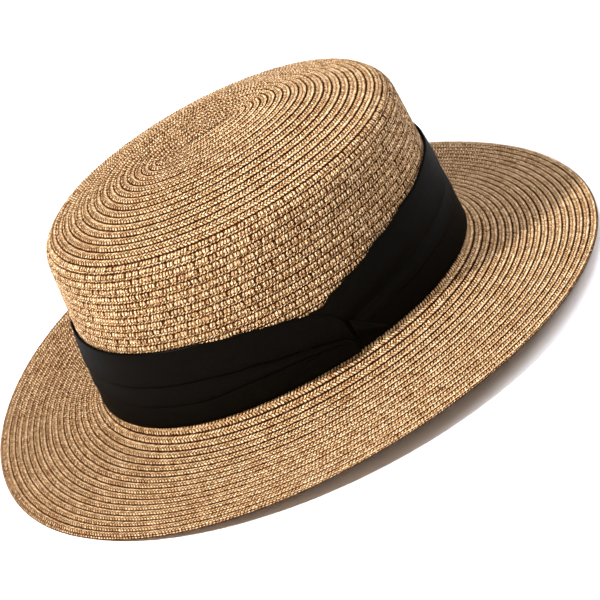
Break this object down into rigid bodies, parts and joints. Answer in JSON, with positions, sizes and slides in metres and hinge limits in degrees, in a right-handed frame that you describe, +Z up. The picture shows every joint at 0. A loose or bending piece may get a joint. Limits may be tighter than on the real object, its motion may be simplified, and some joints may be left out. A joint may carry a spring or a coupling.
{
  "type": "straw fedora",
  "caption": "Flat-topped straw boater of sewn spiral braid, with a wide gently drooping brim and a black pleated satin band gathered at a side knot.",
  "frame": {"origin": "on the surface that the hat rests on, under the middle of the crown", "axes": "+Z up through the crown, -Y towards the wearer's front, +X towards the wearer's left, where the knot is"},
  "size_m": [0.31, 0.33, 0.1176],
  "materials": {
    "straw": "natural tan straw braid, matt with a slight sheen",
    "satin": "black satin ribbon, soft sheen"
  },
  "bodies": {
    "root": {"crown": "straw", "brim": "straw", "hat_band": "satin", "knot_fold": "satin"}
  },
  "joints": []
}
